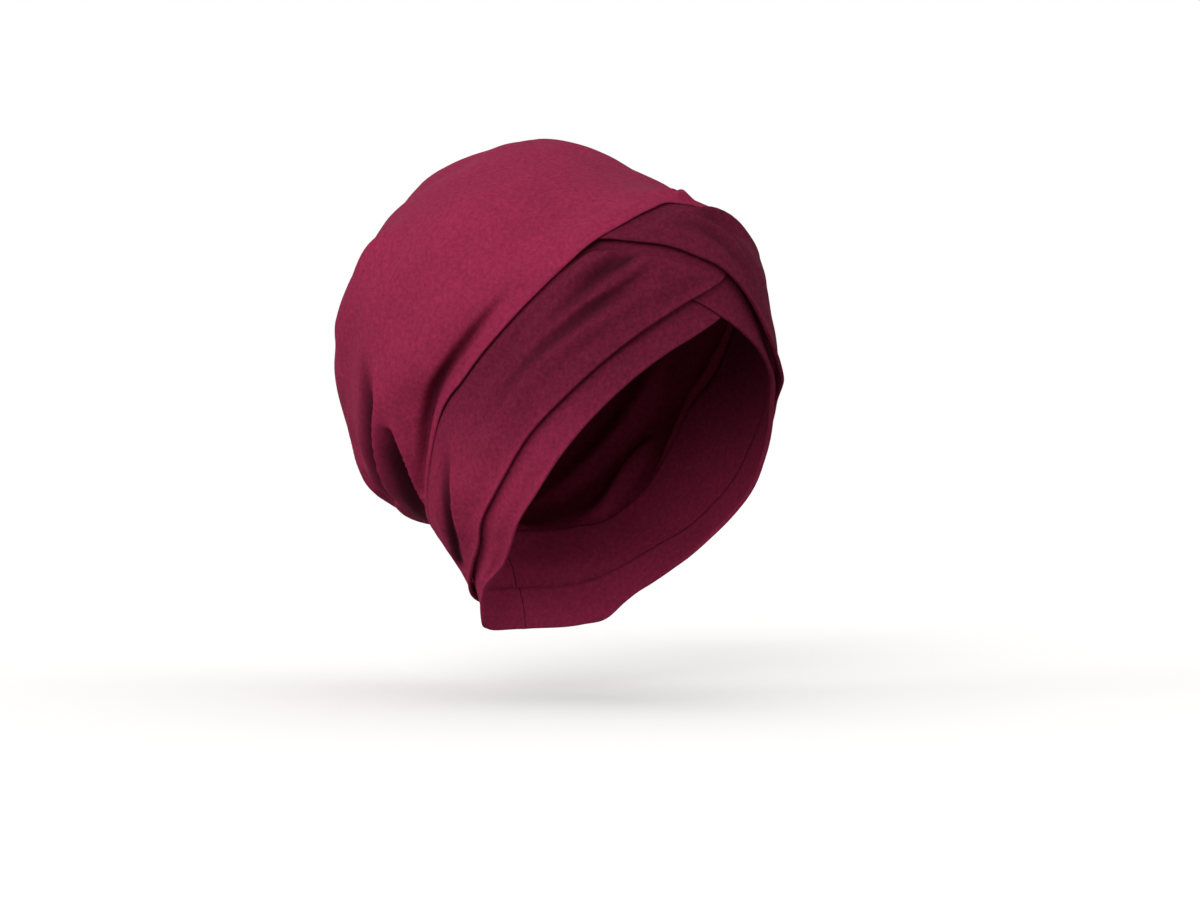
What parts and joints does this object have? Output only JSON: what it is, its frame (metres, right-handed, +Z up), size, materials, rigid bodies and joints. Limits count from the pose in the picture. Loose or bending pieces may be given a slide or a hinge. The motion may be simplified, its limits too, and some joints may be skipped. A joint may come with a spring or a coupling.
{
  "type": "hijab cap",
  "caption": "Slouchy jersey hijab cap in its worn form, with folded bands that cross over the forehead and an open hollow for the head.",
  "frame": {"origin": "the top of the wearer's head, where the underside of the crown rests on it", "axes": "+Z up through the top of the head, -Y the way the wearer faces, +X to the wearer's left"},
  "size_m": [0.1918, 0.2409, 0.2396],
  "materials": {
    "crown_jersey": "matt maroon jersey, one layer, soft nap with a faint bloom at grazing angles",
    "band_jersey": "the same matt maroon jersey, folded double"
  },
  "bodies": {
    "root": {"crown": "crown_jersey", "right_wide_band": "band_jersey", "left_wide_band": "band_jersey", "right_edge_band": "band_jersey", "left_edge_band": "band_jersey"}
  },
  "joints": []
}
